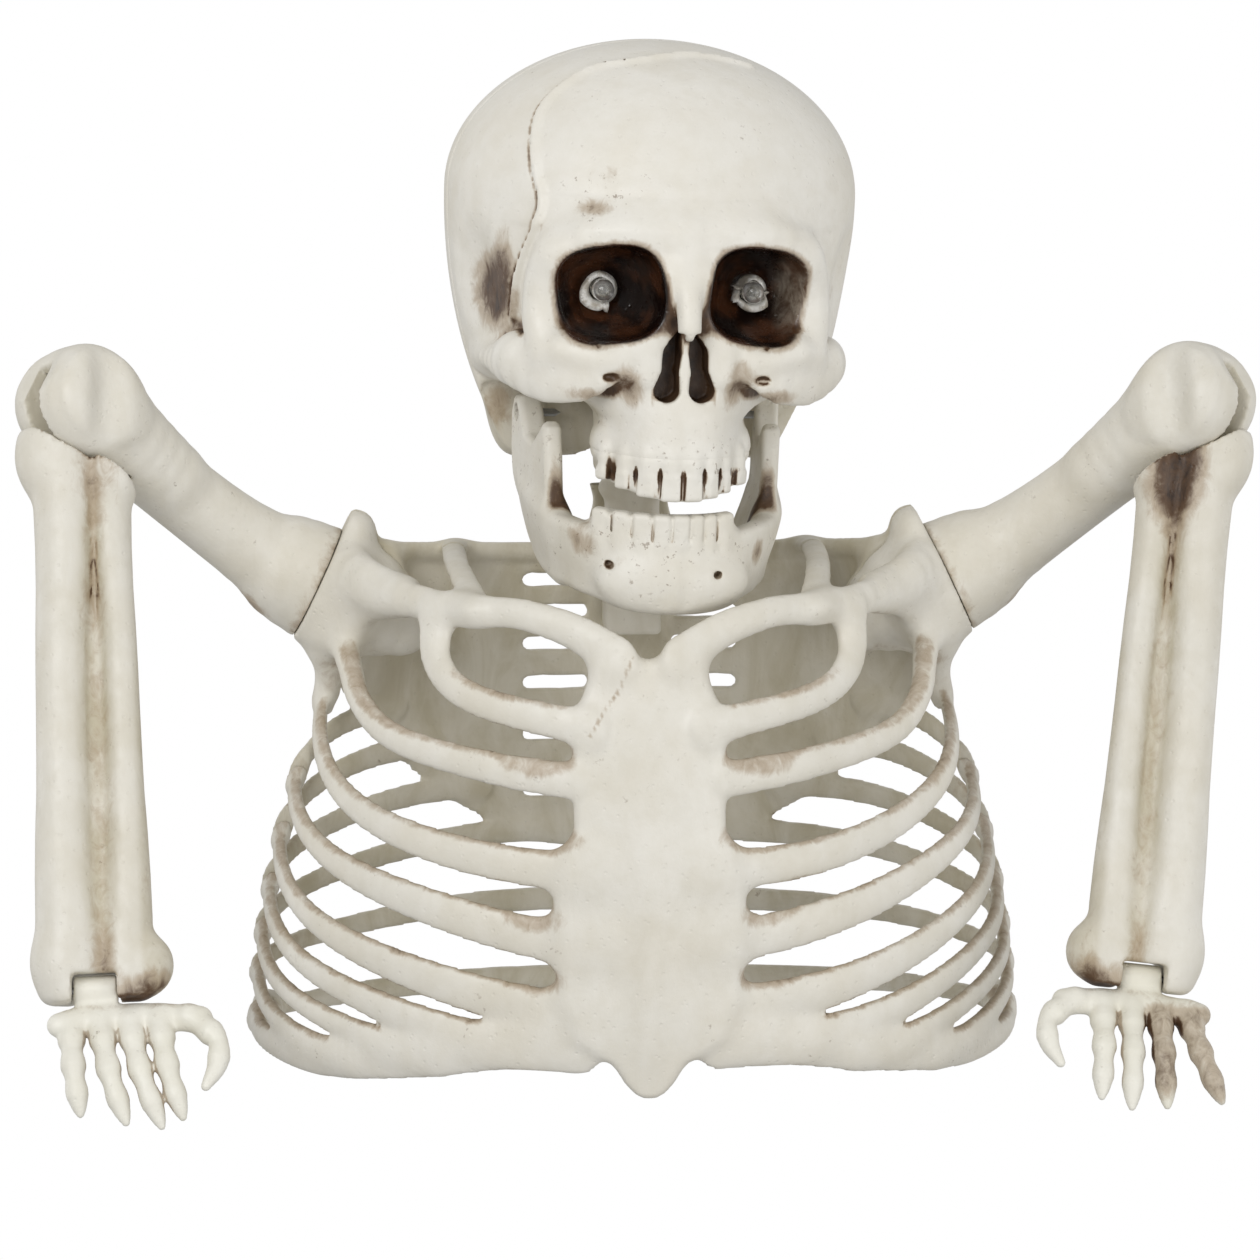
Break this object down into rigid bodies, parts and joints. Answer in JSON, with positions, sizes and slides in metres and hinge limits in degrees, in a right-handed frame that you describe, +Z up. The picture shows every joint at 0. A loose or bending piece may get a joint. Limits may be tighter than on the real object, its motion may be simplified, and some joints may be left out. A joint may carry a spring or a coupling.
{
  "type": "skeleton bust decoration",
  "caption": "Light-up skeleton bust with an open rib cage, a turning head with a hinged jaw, and two jointed arms.",
  "frame": {"origin": "on the surface that the bust stands on, under the middle of its bounding box", "axes": "+Z up, -Y the way the chest faces, +X to the right of someone looking at the face"},
  "size_m": [0.458, 0.225, 0.3833],
  "materials": {
    "bone_plastic": "ivory moulded plastic with a brown wash in the hollows",
    "hand_plastic": "paler ivory moulded plastic, brown wash on some fingers",
    "steel": "zinc-plated steel",
    "clear_resin": "clear epoxy lens",
    "hot_glue": "milky hot-melt glue",
    "lead_sleeve": "red lead sleeve",
    "black_plastic": "black moulded plastic",
    "battery_can": "plain printed battery can"
  },
  "bodies": {
    "torso": {"chest_shell": "bone_plastic", "back_shell": "bone_plastic", "neck_post": "bone_plastic", "head_washer": "steel", "head_screw": "steel", "neck_base_screw_lower": "steel", "neck_base_screw_upper": "steel", "shoulder_screw_upper_left": "steel", "shoulder_screw_lower_left": "steel", "rim_screw_left": "steel", "shoulder_screw_upper_right": "steel", "shoulder_screw_lower_right": "steel", "rim_screw_right": "steel"},
    "head": {"skull_face": "bone_plastic", "skull_cranium": "bone_plastic", "jaw_screw_left": "steel", "jaw_screw_right": "steel", "skull_screw_left": "steel", "skull_screw_right": "steel", "led_left": "clear_resin", "led_right": "clear_resin", "glue_collar_left": "hot_glue", "glue_collar_right": "hot_glue", "led_lead_left": "lead_sleeve", "led_lead_right": "lead_sleeve", "battery_bay": "black_plastic", "battery_left": "battery_can", "battery_right": "battery_can", "contact_lower": "steel", "contact_upper": "steel"},
    "jaw": {"mandible": "bone_plastic"},
    "door": {"battery_door": "bone_plastic", "door_screw": "steel"},
    "switch": {"switch_slider": "black_plastic"},
    "right_upper_arm": {"humerus_right": "bone_plastic"},
    "right_forearm": {"forearm_right": "bone_plastic", "elbow_pin_right": "steel"},
    "right_hand": {"hand_right": "hand_plastic", "wrist_pin_right": "steel"},
    "left_upper_arm": {"humerus_left": "bone_plastic"},
    "left_forearm": {"forearm_left": "bone_plastic", "elbow_pin_left": "steel"},
    "left_hand": {"hand_left": "hand_plastic", "wrist_pin_left": "steel"}
  },
  "joints": [
    {"name": "neck_turn", "type": "hinge", "parent": "torso", "child": "head", "pos_m": [0, 0.055, 0.236], "axis": [0.0347, 0.004, 0.9994], "range_deg": [-25, 12]},
    {"name": "jaw_open", "type": "hinge", "parent": "head", "child": "jaw", "pos_m": [0.00401, 0.02224, 0.24399], "axis": [0.993, 0.1131, -0.0349], "range_deg": [-3.5, 6]},
    {"name": "battery_door_lift", "type": "slide", "parent": "head", "child": "door", "axis": [-0.1132, 0.9936, 0], "range_m": [0, 0.02]},
    {"name": "switch_slide", "type": "slide", "parent": "head", "child": "switch", "axis": [0.0347, 0.004, 0.9994], "range_m": [0, 0.004]},
    {"name": "right_shoulder_swivel", "type": "hinge", "parent": "torso", "child": "right_upper_arm", "pos_m": [0.121, 0.042, 0.177], "axis": [0.9003, 0, 0.4352], "range_deg": [-95, 150]},
    {"name": "right_elbow", "type": "hinge", "parent": "right_upper_arm", "child": "right_forearm", "pos_m": [0.20709, -0.00009, 0.25087], "axis": [-0.6045, -0.746, 0.2794], "range_deg": [-4.7, 105.3]},
    {"name": "right_wrist", "type": "hinge", "parent": "right_forearm", "child": "right_hand", "pos_m": [0.18144, -0.05677, 0.04403], "axis": [-0.9929, 0.023, 0.1168], "range_deg": [-57, 13]},
    {"name": "left_shoulder_swivel", "type": "hinge", "parent": "torso", "child": "left_upper_arm", "pos_m": [-0.121, 0.042, 0.177], "axis": [0.9003, 0, -0.4352], "range_deg": [-95, 150]},
    {"name": "left_elbow", "type": "hinge", "parent": "left_upper_arm", "child": "left_forearm", "pos_m": [-0.20646, 0.00095, 0.25218], "axis": [-0.6157, 0.7276, -0.3026], "range_deg": [-11.3, 98.7]},
    {"name": "left_wrist", "type": "hinge", "parent": "left_forearm", "child": "left_hand", "pos_m": [-0.1994, -0.07682, 0.05079], "axis": [-0.9995, -0.0122, -0.0303], "range_deg": [-47, 23]}
  ]
}
